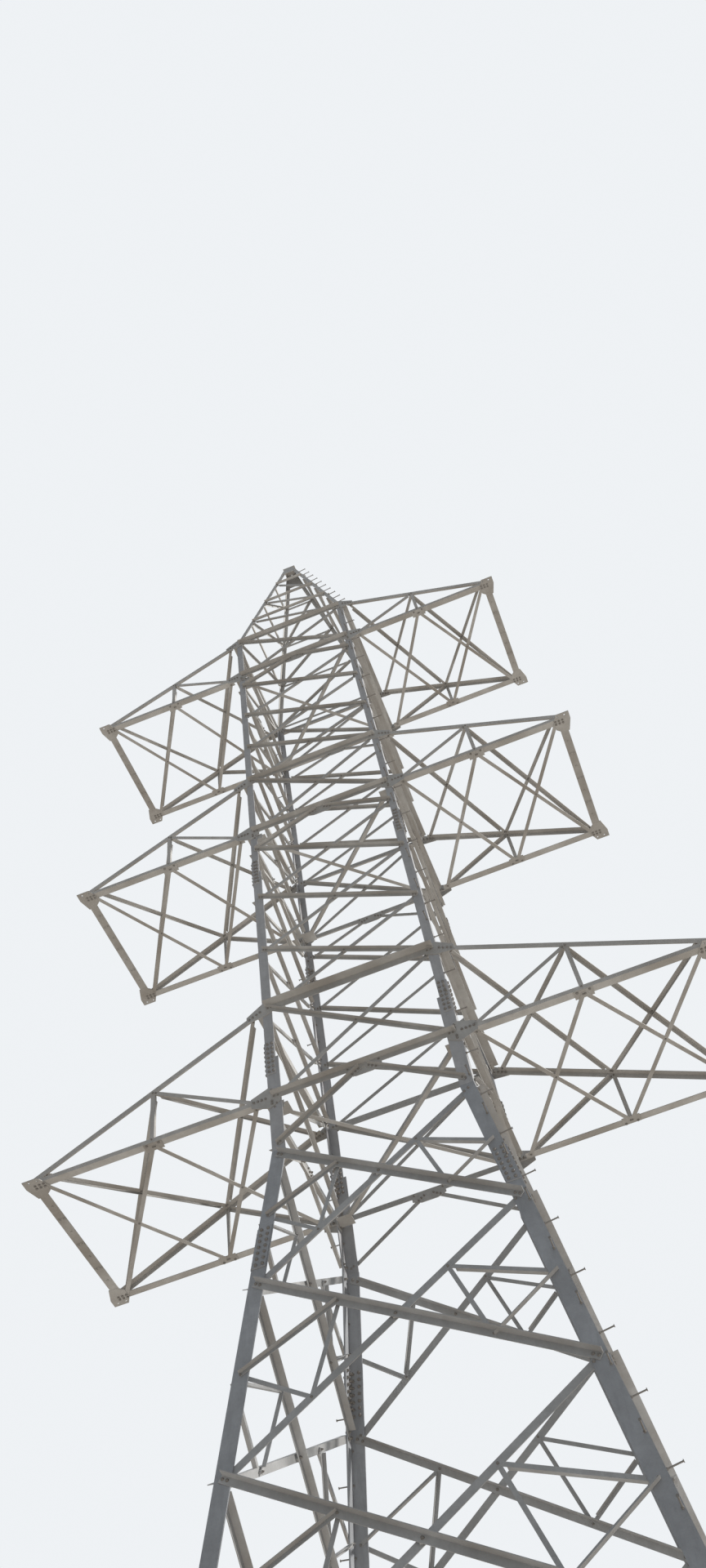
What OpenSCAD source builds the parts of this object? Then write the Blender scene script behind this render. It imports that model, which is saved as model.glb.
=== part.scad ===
// Double circuit lattice pylon with square ended cross-arms.
// Every member is a rolled steel angle bolted flange to flange.
// The four faces lean inwards, so each is drawn flat in its own frame:
// u runs across the face, v runs up its slope, and the third axis
// points out of the tower. Legs fill the layer just behind the face,
// falling diagonals lie on it and rising diagonals lie behind the legs.

/* [Body outline] */
// Width across the leg heels at the ground
base_w = 6880; // [6000:10:7600]
// Width across the leg heels at the waist, where the legs bend
waist_w = 2680; // [2500:10:2900]
// Width across the leg heels at the shoulder, under the peak
shoulder_w = 2336; // [2200:4:2500]
// Width across the heels at the very top of the peak
cap_w = 190; // [180:2:220]

/* [Heights] */
// Height of the waist above the ground
waist_z = 14270; // [14000:10:14600]
// Height of the lower cross-arm
lower_arm_z = 15200; // [15100:10:15300]
// Height of the middle cross-arm
middle_arm_z = 21400; // [21000:10:21800]
// Height of the upper cross-arm
upper_arm_z = 27000; // [26700:10:27300]
// Height of the top of the peak
apex_z = 33590; // [33000:10:34200]

/* [Cross-arms] */
// Reach of the lower arm from the tower axis
lower_reach = 4720; // [4300:10:5000]
// Reach of the middle arm from the tower axis
middle_reach = 4275; // [3900:5:4600]
// Reach of the upper arm from the tower axis
upper_reach = 4095; // [3700:5:4400]
// Depth of the lower arm at the body
lower_root = 1730; // [1500:10:1900]
// Depth of the middle arm at the body
middle_root = 1590; // [1400:10:1750]
// Depth of the upper arm at the body
upper_root = 1470; // [1300:10:1600]
// Where along the arm its posts stand, as a share of its length
post_share = 0.49; // [0.45:0.01:0.55]
// Width of the arm's bottom chord angle, its flat flange
chord_b = 110; // [100:5:120]
// Height of the arm's bottom chord angle, its upright flange
chord_h = 70; // [65:5:80]
// Thickness of the arm's bottom chord
chord_t = 10; // [8:1:12]
// Width of the arm's top chord angle
tie_b = 80; // [70:5:90]
// Thickness of the arm's top chord
tie_t = 8; // [6:1:10]
// Width of the arm's lacing angles
lace_b = 60; // [50:5:70]
// Thickness of the arm's lacing angles
lace_t = 6; // [5:1:8]
// Width of the beam across the arm's end
end_b = 120; // [100:5:130]
// Thickness of the beam across the arm's end
end_t = 10; // [8:1:12]
// Length of a tip plate along the arm
tip_len = 280; // [260:10:320]
// Length of a tip plate across the arm
tip_wid = 360; // [330:10:400]
// Thickness of a tip plate
tip_t = 14; // [12:1:18]
// How far a tip plate stands out past the chord
tip_lip = 95; // [85:5:110]
// How far a tip plate stands out past the end of the arm
tip_out = 100; // [80:5:120]
// Diameter of the two attachment holes in a tip plate
tip_hole_d = 26; // [22:1:30]
// Spacing of the two attachment holes
tip_pitch = 120; // [100:5:140]

/* [Knees and panels] */
// Drop of the knee bars below the middle arm
middle_knee = 530; // [450:10:650]
// Drop of the knee bars below the upper arm
upper_knee = 470; // [400:10:600]
// Number of crossed panels between two arms
bays = 3; // [2:1:4]
// Height of the first crossed panel below the waist
panel_1 = 2150; // [2000:10:2300]
// Height of the second crossed panel below the waist
panel_2 = 2390; // [2250:10:2500]
// Height of the third crossed panel below the waist
panel_3 = 2800; // [2650:10:2950]
// Height of the fourth crossed panel below the waist
panel_4 = 3230; // [3050:10:3400]
// Height above the ground where the lowest braces meet the legs
foot_node_z = 700; // [600:10:850]

/* [Legs] */
// Flange width of the lower legs
low_leg_b = 185; // [175:5:200]
// Flange thickness of the lower legs
low_leg_t = 20; // [16:1:22]
// Flange width of the legs between the waist and the lower splice
waist_leg_b = 180; // [165:5:185]
// Flange width of the legs between the lower and the upper splice
mid_leg_b = 140; // [130:5:150]
// Flange width of the legs above the upper splice
top_leg_b = 115; // [105:5:125]
// Flange thickness of the legs above the waist
up_leg_t = 16; // [14:1:18]
// Flange width of the peak legs
peak_leg_b = 80; // [70:5:90]
// Flange thickness of the peak legs
peak_leg_t = 8; // [7:1:10]
// Length of a splice cover plate
splice_len = 620; // [500:10:680]
// Thickness of a splice cover plate
splice_t = 12; // [8:1:14]

/* [Bracing] */
// Width of the body's diagonals above the waist
body_b = 60; // [55:5:70]
// Thickness of the body's diagonals above the waist
body_t = 6; // [5:1:8]
// Width of the level belts
belt_b = 90; // [80:5:95]
// Width of the belt between the lower arms' top chords
tie_belt_b = 125; // [110:5:140]
// Thickness of the level belts
belt_t = 8; // [7:1:10]
// Width of the diagonals below the waist
low_b = 90; // [85:5:100]
// Thickness of the diagonals below the waist
low_t = 9; // [8:1:11]
// Width of the short bars that steady the lower diagonals
stay_b = 50; // [45:5:60]
// Thickness of the short steadying bars
stay_t = 6; // [5:1:8]
// Where the short bars meet the diagonals, as a share of their length
stay_share = 0.27; // [0.24:0.01:0.3]
// Width of the peak's bracing
peak_b = 50; // [45:5:55]
// Thickness of the peak's bracing
peak_t = 5; // [4:1:6]
// Number of panels up the peak
peak_panels = 4; // [3:1:5]
// Thickness of the gusset plates
gusset_t = 10; // [8:1:12]
// Spacing of the two earth wire holes in the top plate
cap_pitch = 232; // [225:1:240]
// Diameter of the earth wire holes
cap_hole_d = 22; // [18:1:24]
// Thickness of the top plate
cap_t = 12; // [10:1:16]

/* [Feet] */
// Side of a base plate
plate_w = 560; // [540:10:620]
// Thickness of a base plate
plate_t = 30; // [25:1:40]
// Distance from a leg's heel in to the middle of its base plate
plate_in = 85; // [70:5:95]
// Spacing of the anchor holes
anchor_pitch = 420; // [400:10:440]
// Diameter of the anchor holes
anchor_d = 42; // [36:1:48]
// Height of the cleats that hold a leg to its base plate
cleat_h = 400; // [350:10:450]
// Thickness of those cleats
cleat_t = 16; // [12:1:18]

/* [Hidden] */

// Space left between bolted faces
clear = 0.3;
// Bite that fuses two members of one sub-part
bite = 1;
// Distance from a node to the next section's node across a bend
bend_gap = 90;
// Space kept between an arm's flat flanges and the body's belts
root_gap = 130;
// Distance from the heel to the first lacing bar of an arm
root_node = 190;
// Inset of an arm chord's flat flange from the edge of its upright one
flat_in = 2;
// Distance from an arm's outer face to its lacing nodes
lace_in = 55;
// Length without a standing flange at the end of an inner bar
cope = 105;
// Length that a bar runs on past its node
tail = 30;
// How far each kind of outer bar stands off the face, all different so
// that no two members of one sub-part share a plane
seat_diag = 1.5;
seat_stay = 3.3;
seat_belt = 3.4;
seat_knee = 4.8;
// Inset of a standing flange from the edge of a bar with plain ends
heel = 0.5;
// Height of the top chord's upper edge above the arm's level at its tip,
// where its lower edge still lies on the bottom chord
tie_end = tie_b * 1.2 - chord_h / 2;
// Height of the splice plates above the lower arm
splice_low_z = lower_arm_z + 430;
// Height of the upper splice, in the bay under the middle arm
splice_up_z = middle_arm_z - middle_knee - 920;
// Height of the splice under the waist
splice_waist_z = waist_z - panel_1 + 240;
// Top surface of the base plates, with the clearance to the legs
leg_foot_z = plate_t + clear;
shoulder_z = upper_arm_z + upper_root;
z_a = waist_z - panel_1;
z_b = z_a - panel_2;
z_c = z_b - panel_3;
z_d = z_c - panel_4;

low_steel = [0.50, 0.52, 0.54];
mid_steel = [0.56, 0.56, 0.55];
arm_steel = [0.55, 0.53, 0.50];
dark_steel = [0.42, 0.41, 0.40];

// A leaning section: half width at its datum, datum height, lean,
// leg flange thickness and distance from heel to bolt line
LOW = [waist_w / 2, waist_z, (base_w - waist_w) / 2 / waist_z, low_leg_t, 95];
UP = [waist_w / 2, waist_z, (waist_w - shoulder_w) / 2 / (shoulder_z - waist_z),
      up_leg_t, 85];
PEAK = [shoulder_w / 2, shoulder_z,
        (shoulder_w - cap_w) / 2 / (apex_z - shoulder_z), peak_leg_t, 45];

// Half width across the heels of section s at height z
function wid(s, z) = s[0] - s[2] * (z - s[1]);
// Distance up the face's slope at height z
function rise(s, z) = (z - s[1]) * sqrt(1 + s[2] * s[2]);
// The bolting point on a leg: side is -1 for left and 1 for right
function on_leg(s, side, z) = [side * (wid(s, z) - s[4]), rise(s, z)];
// A point a share f of the way from p to q
function along(p, q, f) = p + (q - p) * f;
// Where line p to q crosses line r to w
function meet(p, q, r, w) =
    let (d = q - p, e = w - r,
         k = ((r.x - p.x) * e.y - (r.y - p.y) * e.x) / (d.x * e.y - d.y * e.x))
    p + d * k;

// Places children in the frame of face i: 0 front, 1 right, 2 back, 3 left
module face(s, i) {
    rotate([0, 0, 90 * i])
        translate([0, -s[0], s[1]])
            rotate([90 - atan(s[2]), 0, 0])
                children();
}

// Angle bar from p to q. It lies flat at distance deep outside the
// plane (out = 1) or inside it (out = -1) with its other flange standing
// away from the plane along the bar's upper edge.
module angle_bar(p, q, b, t, out, deep, run_on, cut) {
    d = q - p;
    far = norm(d) + 2 * run_on;
    translate([p.x, p.y, 0])
        rotate([0, 0, atan2(d.y, d.x)])
            translate([-run_on, 0, 0])
                if (cut == 0)
                    rotate([90, 0, 90])
                        linear_extrude(far)
                            polygon([[-b / 2, out * deep], [b / 2, out * deep],
                                     [b / 2, out * (deep + b)], [b / 2 - t, out * (deep + b)],
                                     [b / 2 - t, out * (deep + t)], [-b / 2, out * (deep + t)]]);
                else {
                    translate([0, -b / 2, out > 0 ? deep : -deep - t])
                        cube([far, b, t]);
                    translate([cut, b / 2 - t - heel, out > 0 ? deep + bite : -deep - b])
                        cube([far - 2 * cut, t, b - bite]);
                }
}

// Bar bolted on the outside of the face
module outer_bar(p, q, b, t, run_on = tail, seat = seat_diag) {
    angle_bar(p, q, b, t, 1, clear + seat, run_on, 0);
}

// Bar bolted behind the legs of section s
module inner_bar(s, p, q, b, t, run_on = tail, cut = cope, seat = 0) {
    angle_bar(p, q, b, t, -1, s[3] + clear + seat, run_on, cut);
}

// Packing block that joins an outer bar to an inner bar at point m
module pack(s, m, b, seat = 0) {
    translate([m.x - b / 2, m.y - b / 2, -s[3] - clear - seat - 2 * bite])
        cube([b, b, s[3] + 2 * clear + seat + seat_diag + 3 * bite]);
}

// Two crossed diagonals between heights lo and hi
module crossed(s, lo, hi, b, t) {
    p = on_leg(s, -1, hi);
    q = on_leg(s, 1, lo);
    r = on_leg(s, -1, lo);
    w = on_leg(s, 1, hi);
    outer_bar(p, q, b, t);
    inner_bar(s, r, w, b, t);
    pack(s, meet(p, q, r, w), b * 0.8);
}

// Short bars that tie the middle of each leg length to both diagonals
module stays(s, lo, hi) {
    for (side = [-1, 1]) {
        m = on_leg(s, side, (lo + hi) / 2);
        p = along(on_leg(s, side, side < 0 ? hi : lo),
                  on_leg(s, -side, side < 0 ? lo : hi), stay_share);
        q = along(on_leg(s, side, side < 0 ? lo : hi),
                  on_leg(s, -side, side < 0 ? hi : lo), stay_share);
        outer_bar(m, p, stay_b, stay_t, 8, seat_stay);
        inner_bar(s, m, q, stay_b, stay_t, 8, cope, bite);
        inner_bar(s, q, p, stay_b, stay_t, 14, 50, 2.2 * bite);
        pack(s, p, stay_b - 16, 2.2 * bite);
    }
}

// Level angle right across a face
module belt(s, z, b, t, seat = seat_belt) {
    outer_bar(on_leg(s, -1, z), on_leg(s, 1, z), b, t, tail + 10, seat);
}

// Two bars from the middle of the belt at height hi down to the legs
module knee(s, hi, lo, b, t) {
    top = [0, rise(s, hi)];
    left = on_leg(s, -1, lo);
    right = on_leg(s, 1, lo);
    short = b * 0.9 / norm(right - top);
    outer_bar(left, along(top, left, short), b, t, 0, seat_knee);
    outer_bar(along(top, right, short), right, b, t, 0, seat_knee);
}

// Gusset plates that carry one chord of an arm on both sides of a face;
// drop is how far the chord falls from the leg to the plate's outer edge
module arm_gusset(s, z, tall, drop) {
    w = wid(s, z);
    v = rise(s, z);
    for (side = [-1, 1])
        scale([side, 1, 1])
            translate([0, 0, clear])
                linear_extrude(gusset_t)
                    polygon([[w - 165, v - tall * 0.55], [w - 10, v - tall],
                             [w + 240, v - tall * 0.45 - drop],
                             [w + 240, v + tall * 0.4 - drop],
                             [w - 10, v + tall * 0.95], [w - 165, v + tall * 0.6]]);
}

// One flange of a leg on face i between two heights
module leg_flange(s, i, side, b, t, lo, hi) {
    face(s, i)
        translate([0, 0, -t])
            linear_extrude(t)
                polygon([[side * wid(s, lo), rise(s, lo)],
                         [side * wid(s, hi), rise(s, hi)],
                         [side * (wid(s, hi) - b), rise(s, hi)],
                         [side * (wid(s, lo) - b), rise(s, lo)]]);
}

// Leg i stands left of face i and right of the face before it
module leg_angle(s, i, b, t, lo, hi) {
    leg_flange(s, i, -1, b, t, lo, hi);
    leg_flange(s, i + 3, 1, b, t, lo, hi);
}

// Cover plates on both flanges of leg i from height lo upwards
module splice(s, i, b, lo) {
    for (k = [0, 1])
        face(s, i + 3 * k)
            translate([0, 0, -bite])
                linear_extrude(splice_t + bite)
                    polygon([for (c = [[6, lo], [b - 8, lo],
                                       [b - 8, lo + splice_len], [6, lo + splice_len]])
                                 [(2 * k - 1) * (wid(s, c[1]) - c[0]), rise(s, c[1])]]);
}

module lower_leg(i) {
    color(low_steel) {
        intersection() {
            leg_angle(LOW, i, low_leg_b, low_leg_t, -60, waist_z - clear);
            translate([-base_w, -base_w, leg_foot_z])
                cube([2 * base_w, 2 * base_w, waist_z]);
        }
        splice(LOW, i, low_leg_b, splice_waist_z);
    }
}

module upper_leg(i) {
    color(mid_steel) {
        low = splice_low_z + splice_len / 2;
        high = splice_up_z + splice_len / 2;
        leg_angle(UP, i, waist_leg_b, up_leg_t, waist_z + clear, low);
        leg_angle(UP, i, mid_leg_b, up_leg_t, low - bite, high);
        leg_angle(UP, i, top_leg_b, up_leg_t, high - bite, shoulder_z);
        splice(UP, i, mid_leg_b, splice_low_z);
        splice(UP, i, top_leg_b, splice_up_z);
    }
}

// Cleat on face i that stands on the base plate behind the leg's flange
module cleat(i, side) {
    face(LOW, i)
        translate([0, 0, -low_leg_t - clear - cleat_t])
            linear_extrude(cleat_t)
                polygon([for (c = [[low_leg_t + cleat_t + 8, -60], [low_leg_b - 10, -60],
                                   [low_leg_b - 10, cleat_h * 0.8], [low_leg_b - 60, cleat_h],
                                   [low_leg_t + cleat_t + 8, cleat_h]])
                             [side * (wid(LOW, c[1]) - c[0]), rise(LOW, c[1])]]);
}

module foot(i) {
    color(dark_steel) {
        rotate([0, 0, 90 * i])
            translate([plate_in - base_w / 2, plate_in - base_w / 2, 0])
                difference() {
                    translate([-plate_w / 2, -plate_w / 2, 0])
                        cube([plate_w, plate_w, plate_t]);
                    for (x = [-1, 1], y = [-1, 1])
                        translate([x * anchor_pitch / 2, y * anchor_pitch / 2, -bite])
                            cylinder(h = plate_t + 2 * bite, d = anchor_d, $fn = 32);
                }
        intersection() {
            union() {
                cleat(i, -1);
                cleat(i + 3, 1);
            }
            translate([-base_w, -base_w, plate_t - bite])
                cube([2 * base_w, 2 * base_w, waist_z]);
        }
    }
}

// One face of the flared body, from the feet up to the waist
module lower_bracing(i) {
    levels = [waist_z - bend_gap, z_a, z_b, z_c, z_d];
    color(low_steel)
        face(LOW, i) {
            for (k = [0:3]) {
                crossed(LOW, levels[k + 1], levels[k], low_b, low_t);
                stays(LOW, levels[k + 1], levels[k]);
            }
            belt(LOW, z_d - bend_gap, low_b, low_t, 0);
            knee(LOW, z_d - bend_gap, foot_node_z, low_b, low_t);
            for (side = [-1, 1]) {
                top = [0, rise(LOW, z_d - bend_gap)];
                m = on_leg(LOW, side, (z_d + foot_node_z) / 2);
                p = along(top, on_leg(LOW, side, foot_node_z), 0.5);
                outer_bar(m, p, stay_b, stay_t, 8, seat_stay);
                outer_bar(p, [side * wid(LOW, z_d) / 2, top.y], stay_b, stay_t, 0, seat_stay - 1.2);
            }
        }
}

// One face of the body between the waist and the shoulder
module upper_bracing(i) {
    arms = [[lower_arm_z, lower_root, lower_reach],
            [middle_arm_z, middle_root, middle_reach],
            [upper_arm_z, upper_root, upper_reach]];
    knees = [waist_z + bend_gap, middle_arm_z - middle_knee, upper_arm_z - upper_knee];
    color(mid_steel)
        face(UP, i) {
            for (k = [0:2]) {
                z = arms[k][0];
                root = arms[k][1];
                top = z + root - (k == 2 ? bend_gap / 2 : 0);
                crossed(UP, z, top, body_b, body_t);
                belt(UP, z, belt_b, belt_t);
                belt(UP, top, k == 0 ? tie_belt_b : belt_b, belt_t);
                knee(UP, z, knees[k], body_b, body_t);
                if (i % 2 == 0) {
                    arm_gusset(UP, z, 190, 0);
                    arm_gusset(UP, z + root, 140, 200 * root / (arms[k][2] - wid(UP, z)));
                }
                if (k < 2)
                    for (n = [0:bays - 1]) {
                        low = z + root;
                        step = (knees[k + 1] - low) / bays;
                        crossed(UP, low + n * step, low + (n + 1) * step, body_b, body_t);
                    }
            }
        }
}

// Level cross inside the body, held to the legs by cleats just under height z
module plan_bracing(z) {
    w = wid(UP, z - 130);
    reach = (w - 190) * sqrt(2);
    color(mid_steel) {
        for (a = [45, 135])
            rotate([0, 0, a])
                translate([-reach, 0, z - 140]) {
                    translate([0, -body_b / 2, 0])
                        cube([2 * reach, body_b, body_t]);
                    translate([0, body_b / 2 - body_t, 0])
                        cube([2 * reach, body_t, body_b]);
                }
        for (i = [0:3]) {
            rotate([0, 0, 90 * i])
                translate([-w + 34, -w + up_leg_t + 2, z - 141])
                    cube([220, 220, body_t + 2]);
            face(UP, i)
                translate([34 - w, rise(UP, z - 215), -up_leg_t - clear - gusset_t])
                    cube([170, 125, gusset_t]);
        }
    }
}

// Four converging angles, the top plate and the gussets under it
module peak_legs() {
    color(mid_steel) {
        for (i = [0:3])
            leg_angle(PEAK, i, peak_leg_b, peak_leg_t, shoulder_z + 2, apex_z);
        for (i = [0, 2])
            face(PEAK, i)
                translate([0, 0, -bite])
                    linear_extrude(gusset_t)
                        polygon([for (c = [[-1, 480], [1, 480], [1, 40], [-1, 40]])
                                     [c[0] * (wid(PEAK, apex_z - c[1]) - 2),
                                      rise(PEAK, apex_z - c[1])]]);
    }
    color(dark_steel)
        difference() {
            translate([-cap_pitch / 2 - 30, -cap_w / 2 - 15, apex_z - cap_t])
                cube([cap_pitch + 60, cap_w + 30, cap_t]);
            for (x = [-1, 1])
                translate([x * cap_pitch / 2, 0, apex_z - cap_t - bite])
                    cylinder(h = cap_t + 2 * bite, d = cap_hole_d, $fn = 32);
        }
}

// Belts and falling diagonals on the four faces of the peak
module peak_bracing() {
    tall = apex_z - shoulder_z;
    color(mid_steel)
        for (i = [0:3])
            face(PEAK, i)
                for (n = [0:peak_panels - 1]) {
                    lo = shoulder_z + 110 + (tall - 700) * n / (peak_panels - 0.5);
                    hi = shoulder_z + 110 + (tall - 700) * (n + 1) / (peak_panels - 0.5);
                    outer_bar(on_leg(PEAK, -1, lo), on_leg(PEAK, 1, lo), peak_b, peak_t, 10, 0);
                    if (n < peak_panels - 1)
                        inner_bar(PEAK, on_leg(PEAK, -1, hi), on_leg(PEAK, 1, lo),
                                  peak_b, peak_t, 5, 60);
                }
}

// Half width of an arm's side plane at share f of its length
function arm_wid(z, root, f) = wid(UP, z + root) + (wid(UP, z) - wid(UP, z + root)) * f;
// Slope of the plane through the top chords
function arm_dip(z, root, reach) =
    atan((root + tie_b / 2 - tie_end) / (reach - wid(UP, z + root)));
// Length of the top plane along its slope
function arm_run(z, root, reach) =
    (reach - wid(UP, z + root)) / cos(arm_dip(z, root, reach));

// Frame of the top plane of the right hand arm
module top_plane(z, root, reach) {
    translate([wid(UP, z + root), 0, z + root + tie_b / 2])
        rotate([0, arm_dip(z, root, reach), 0])
            children();
}

// One side truss of the right hand arm, on the front
module arm_side(z, root, reach) {
    w = wid(UP, z);
    wt = wid(UP, z + root);
    v = rise(UP, z);
    vt = rise(UP, z + root) + tie_b / 2;
    fall = tie_b / cos(arm_dip(z, root, reach));
    low_mid = [w + (reach - w) * post_share, v];
    top_mid = [wt + (reach - wt) * post_share,
               vt + (v + tie_end - vt) * post_share - fall / 2];
    face(UP, 0) {
        translate([w + 3, v - chord_h / 2, -chord_t])
            cube([reach - w - 3, chord_h, chord_t]);
        translate([0, 0, -tie_t - bite])
            linear_extrude(tie_t)
                polygon([[wt + 3, vt], [reach - 4, v + tie_end + 3],
                         [reach - 4, v + tie_end - fall], [wt + 3, vt - fall]]);
        angle_bar(low_mid, top_mid, lace_b, lace_t, -1, tie_t - 3 * bite, 0, 45);
        angle_bar([w + root_node, v + 10], top_mid, lace_b, lace_t, -1, tie_t - 1.5 * bite, 0, 70);
    }
    translate([w + root_gap, -w + 3 * bite, z - chord_h / 2 + flat_in])
        cube([reach - w - root_gap - 2, chord_b - 3 * bite, chord_t]);
    run = arm_run(z, root, reach) - 8;
    top_plane(z, root, reach)
        translate([0, 0, -tie_t - flat_in])
            linear_extrude(tie_t)
                polygon([[root_gap, 4 * bite - arm_wid(z, root, 0)],
                         [run, 4 * bite - arm_wid(z, root, 1)],
                         [run, tie_b - arm_wid(z, root, 1)],
                         [root_gap, tie_b - arm_wid(z, root, 0)]]);
}

// Crossed lacing between nodes in one bay, drawn in a flat plane
module laced_bay(x0, y0, x1, y1, out, deep, cut) {
    for (side = [-1, 1])
        angle_bar([x0, side * y0], [x1, -side * y1], lace_b, lace_t, out,
                  deep + (side > 0 ? 0 : 1.2 * bite), 0, cut);
}

// Tip plate from its outermost corner, chamfered on the arm's side
module tip_plate() {
    difference() {
        linear_extrude(tip_t)
            polygon([[0, 0], [-tip_len * 0.78, 0], [-tip_len, -tip_wid * 0.32],
                     [-tip_len, -tip_wid * 0.78], [-tip_len * 0.67, -tip_wid],
                     [-tip_len * 0.25, -tip_wid], [0, -tip_wid * 0.4]]);
        for (k = [-1, 1])
            translate([k * tip_pitch / 2 - tip_len / 2, -tip_lip / 2, -bite])
                cylinder(h = tip_t + 2 * bite, d = tip_hole_d, $fn = 32);
    }
}

// Level bracing under the bottom chords, the end beam and the tip plates
module arm_floor(z, root, reach) {
    w = wid(UP, z);
    top = z - chord_h / 2 - clear;
    y = w - lace_in;
    x0 = w + root_node;
    x1 = w + (reach - w) * post_share;
    x2 = reach - 150;
    translate([0, 0, top - lace_t - 4 * bite]) {
        laced_bay(x0, y, x1, y, 1, 0, cope);
        laced_bay(x1, y, x2, y, 1, 0, cope);
    }
    for (side = [-1, 1])
        translate([x1 - 130, side * (w - 75) - 70, top - lace_t - bite])
            cube([260, 140, lace_t + bite]);
    translate([0, w, top])
        rotate([90, 0, 0])
            linear_extrude(2 * w)
                polygon([[reach - end_b, -bite], [reach + clear, -bite],
                         [reach + clear, end_b - 16], [reach + clear + end_t, end_b - 16],
                         [reach + clear + end_t, -bite - end_t], [reach - end_b, -bite - end_t]]);
    for (side = [-1, 1])
        scale([1, side, 1])
            translate([reach + tip_out, w + tip_lip, top - tip_t])
                tip_plate();
}

// Crossed lacing under the top chords
module arm_roof(z, root, reach) {
    run = arm_run(z, root, reach);
    deep = tie_t + flat_in + clear;
    m = run * post_share;
    top_plane(z, root, reach) {
        laced_bay(root_node, arm_wid(z, root, 0) - lace_in,
                  m, arm_wid(z, root, post_share) - lace_in, -1, deep, cope);
        laced_bay(m, arm_wid(z, root, post_share) - lace_in,
                  run - 170, arm_wid(z, root, 1) - lace_in, -1, deep, cope);
    }
}

// One sub-part of one arm: part 0 sides, 1 floor, 2 roof; hand 1 right, -1 left
module arm(level, hand, part) {
    z = [lower_arm_z, middle_arm_z, upper_arm_z][level];
    root = [lower_root, middle_root, upper_root][level];
    reach = [lower_reach, middle_reach, upper_reach][level];
    color(part == 1 ? dark_steel : arm_steel)
        mirror([hand < 0 ? 1 : 0, 0, 0]) {
            if (part == 0) {
                arm_side(z, root, reach);
                mirror([0, 1, 0])
                    arm_side(z, root, reach);
            }
            if (part == 1)
                arm_floor(z, root, reach);
            if (part == 2)
                arm_roof(z, root, reach);
        }
}

foot(0);  // foot_front_left
foot(1);  // foot_front_right
foot(2);  // foot_back_right
foot(3);  // foot_back_left
lower_leg(0);  // lower_leg_front_left
lower_leg(1);  // lower_leg_front_right
lower_leg(2);  // lower_leg_back_right
lower_leg(3);  // lower_leg_back_left
upper_leg(0);  // upper_leg_front_left
upper_leg(1);  // upper_leg_front_right
upper_leg(2);  // upper_leg_back_right
upper_leg(3);  // upper_leg_back_left
lower_bracing(0);  // lower_bracing_front
lower_bracing(1);  // lower_bracing_right
lower_bracing(2);  // lower_bracing_back
lower_bracing(3);  // lower_bracing_left
upper_bracing(0);  // upper_bracing_front
upper_bracing(1);  // upper_bracing_right
upper_bracing(2);  // upper_bracing_back
upper_bracing(3);  // upper_bracing_left
plan_bracing(lower_arm_z);  // plan_bracing_lower
plan_bracing(middle_arm_z);  // plan_bracing_middle
plan_bracing(upper_arm_z);  // plan_bracing_upper
peak_legs();
peak_bracing();
arm(0, 1, 0);  // lower_arm_right_sides
arm(0, 1, 1);  // lower_arm_right_floor
arm(0, 1, 2);  // lower_arm_right_roof
arm(0, -1, 0);  // lower_arm_left_sides
arm(0, -1, 1);  // lower_arm_left_floor
arm(0, -1, 2);  // lower_arm_left_roof
arm(1, 1, 0);  // middle_arm_right_sides
arm(1, 1, 1);  // middle_arm_right_floor
arm(1, 1, 2);  // middle_arm_right_roof
arm(1, -1, 0);  // middle_arm_left_sides
arm(1, -1, 1);  // middle_arm_left_floor
arm(1, -1, 2);  // middle_arm_left_roof
arm(2, 1, 0);  // upper_arm_right_sides
arm(2, 1, 1);  // upper_arm_right_floor
arm(2, 1, 2);  // upper_arm_right_roof
arm(2, -1, 0);  // upper_arm_left_sides
arm(2, -1, 1);  // upper_arm_left_floor
arm(2, -1, 2);  // upper_arm_left_roof
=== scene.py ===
import math
from collections import namedtuple

import bpy
from mathutils import Matrix, Vector


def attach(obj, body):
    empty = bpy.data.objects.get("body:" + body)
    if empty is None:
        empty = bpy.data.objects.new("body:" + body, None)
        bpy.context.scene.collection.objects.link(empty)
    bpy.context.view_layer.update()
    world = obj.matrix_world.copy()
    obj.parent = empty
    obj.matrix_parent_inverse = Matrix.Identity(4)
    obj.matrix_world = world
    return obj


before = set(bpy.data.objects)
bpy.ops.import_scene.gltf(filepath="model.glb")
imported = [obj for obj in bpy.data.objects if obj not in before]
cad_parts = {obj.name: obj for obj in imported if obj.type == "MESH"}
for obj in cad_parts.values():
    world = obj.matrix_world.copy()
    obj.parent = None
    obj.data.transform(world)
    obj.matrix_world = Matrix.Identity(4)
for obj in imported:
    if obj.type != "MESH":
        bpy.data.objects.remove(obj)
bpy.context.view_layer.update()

# The camera stands at head height in front of the tower, a little to the
# right of its middle, and looks steeply up past the waist to the peak. Its
# focal length was fitted in rows of the frame.
to_the_right = Vector((0.931300, 0.345675, -0.114846))
up_the_frame = Vector((0.351345, -0.769287, 0.533623))
backwards = to_the_right.cross(up_the_frame)
sensor_height = 36
focal_rows = 1756.4
frame_rows = 1920
camera = bpy.data.objects.new("camera", bpy.data.cameras.new("camera"))
bpy.context.collection.objects.link(camera)
bpy.context.scene.camera = camera
camera.matrix_world = Matrix((to_the_right, up_the_frame, backwards)).transposed().to_4x4()
camera.location = (2.942, -14.169, 1.577)
camera.data.sensor_fit = "VERTICAL"
camera.data.sensor_height = sensor_height
camera.data.lens = sensor_height * focal_rows / frame_rows
camera.data.clip_end = 500


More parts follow.
